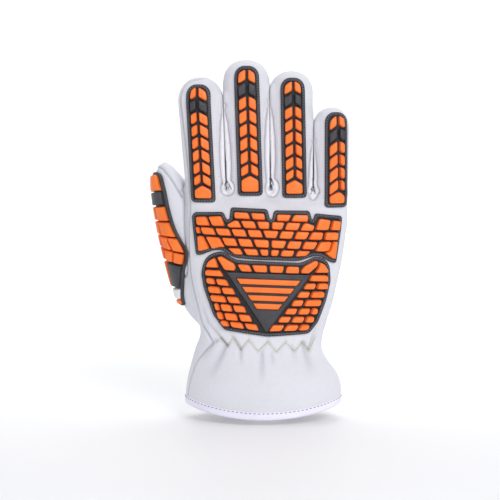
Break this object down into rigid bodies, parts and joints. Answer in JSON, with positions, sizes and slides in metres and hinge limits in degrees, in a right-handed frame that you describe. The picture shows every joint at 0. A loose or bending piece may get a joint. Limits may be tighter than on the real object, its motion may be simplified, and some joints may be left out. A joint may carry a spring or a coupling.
{
  "type": "leather impact glove",
  "caption": "Right-hand leather work glove with a flared cuff and moulded rubber impact guards over fingers, thumb, knuckles and back of the hand, filled out as worn.",
  "frame": {"origin": "middle of the cuff mouth, level with the hem's lowest point", "axes": "+Z from the cuff to the fingertips, -Y the way the back of the hand faces, -X the thumb side"},
  "size_m": [0.1468, 0.077, 0.2587],
  "materials": {
    "leather": "soft grain leather, pale grey",
    "binding": "smooth pale binding tape",
    "grey_rubber": "matt moulded rubber",
    "orange_rubber": "satin moulded rubber",
    "pale_tab": "smooth moulded rubber, pale grey, bare"
  },
  "bodies": {
    "root": {"back_panel": "leather", "palm_panel": "leather", "fourchette_index_middle": "leather", "fourchette_middle_ring": "leather", "fourchette_ring_little": "leather", "thumb_back": "leather", "thumb_front": "leather", "cuff_binding": "binding", "index_guard_base": "grey_rubber", "index_guard_tip_blocks": "orange_rubber", "index_guard_blocks": "orange_rubber", "middle_guard_base": "grey_rubber", "middle_guard_tip_blocks": "orange_rubber", "middle_guard_blocks": "orange_rubber", "ring_guard_base": "grey_rubber", "ring_guard_tip_blocks": "orange_rubber", "ring_guard_blocks": "orange_rubber", "little_guard_base": "grey_rubber", "little_guard_tip_blocks": "orange_rubber", "little_guard_blocks": "orange_rubber", "knuckle_guard_base": "grey_rubber", "knuckle_guard_blocks": "orange_rubber", "back_guard_base": "grey_rubber", "back_guard_blocks": "orange_rubber", "back_guard_rib_1": "orange_rubber", "back_guard_rib_2": "orange_rubber", "back_guard_rib_3": "orange_rubber", "back_guard_rib_4": "orange_rubber", "thumb_guard_base": "grey_rubber", "thumb_guard_end_block": "orange_rubber", "thumb_guard_blocks": "orange_rubber", "thumb_guard_tab": "pale_tab", "thumb_guard_toe": "orange_rubber"}
  },
  "joints": []
}
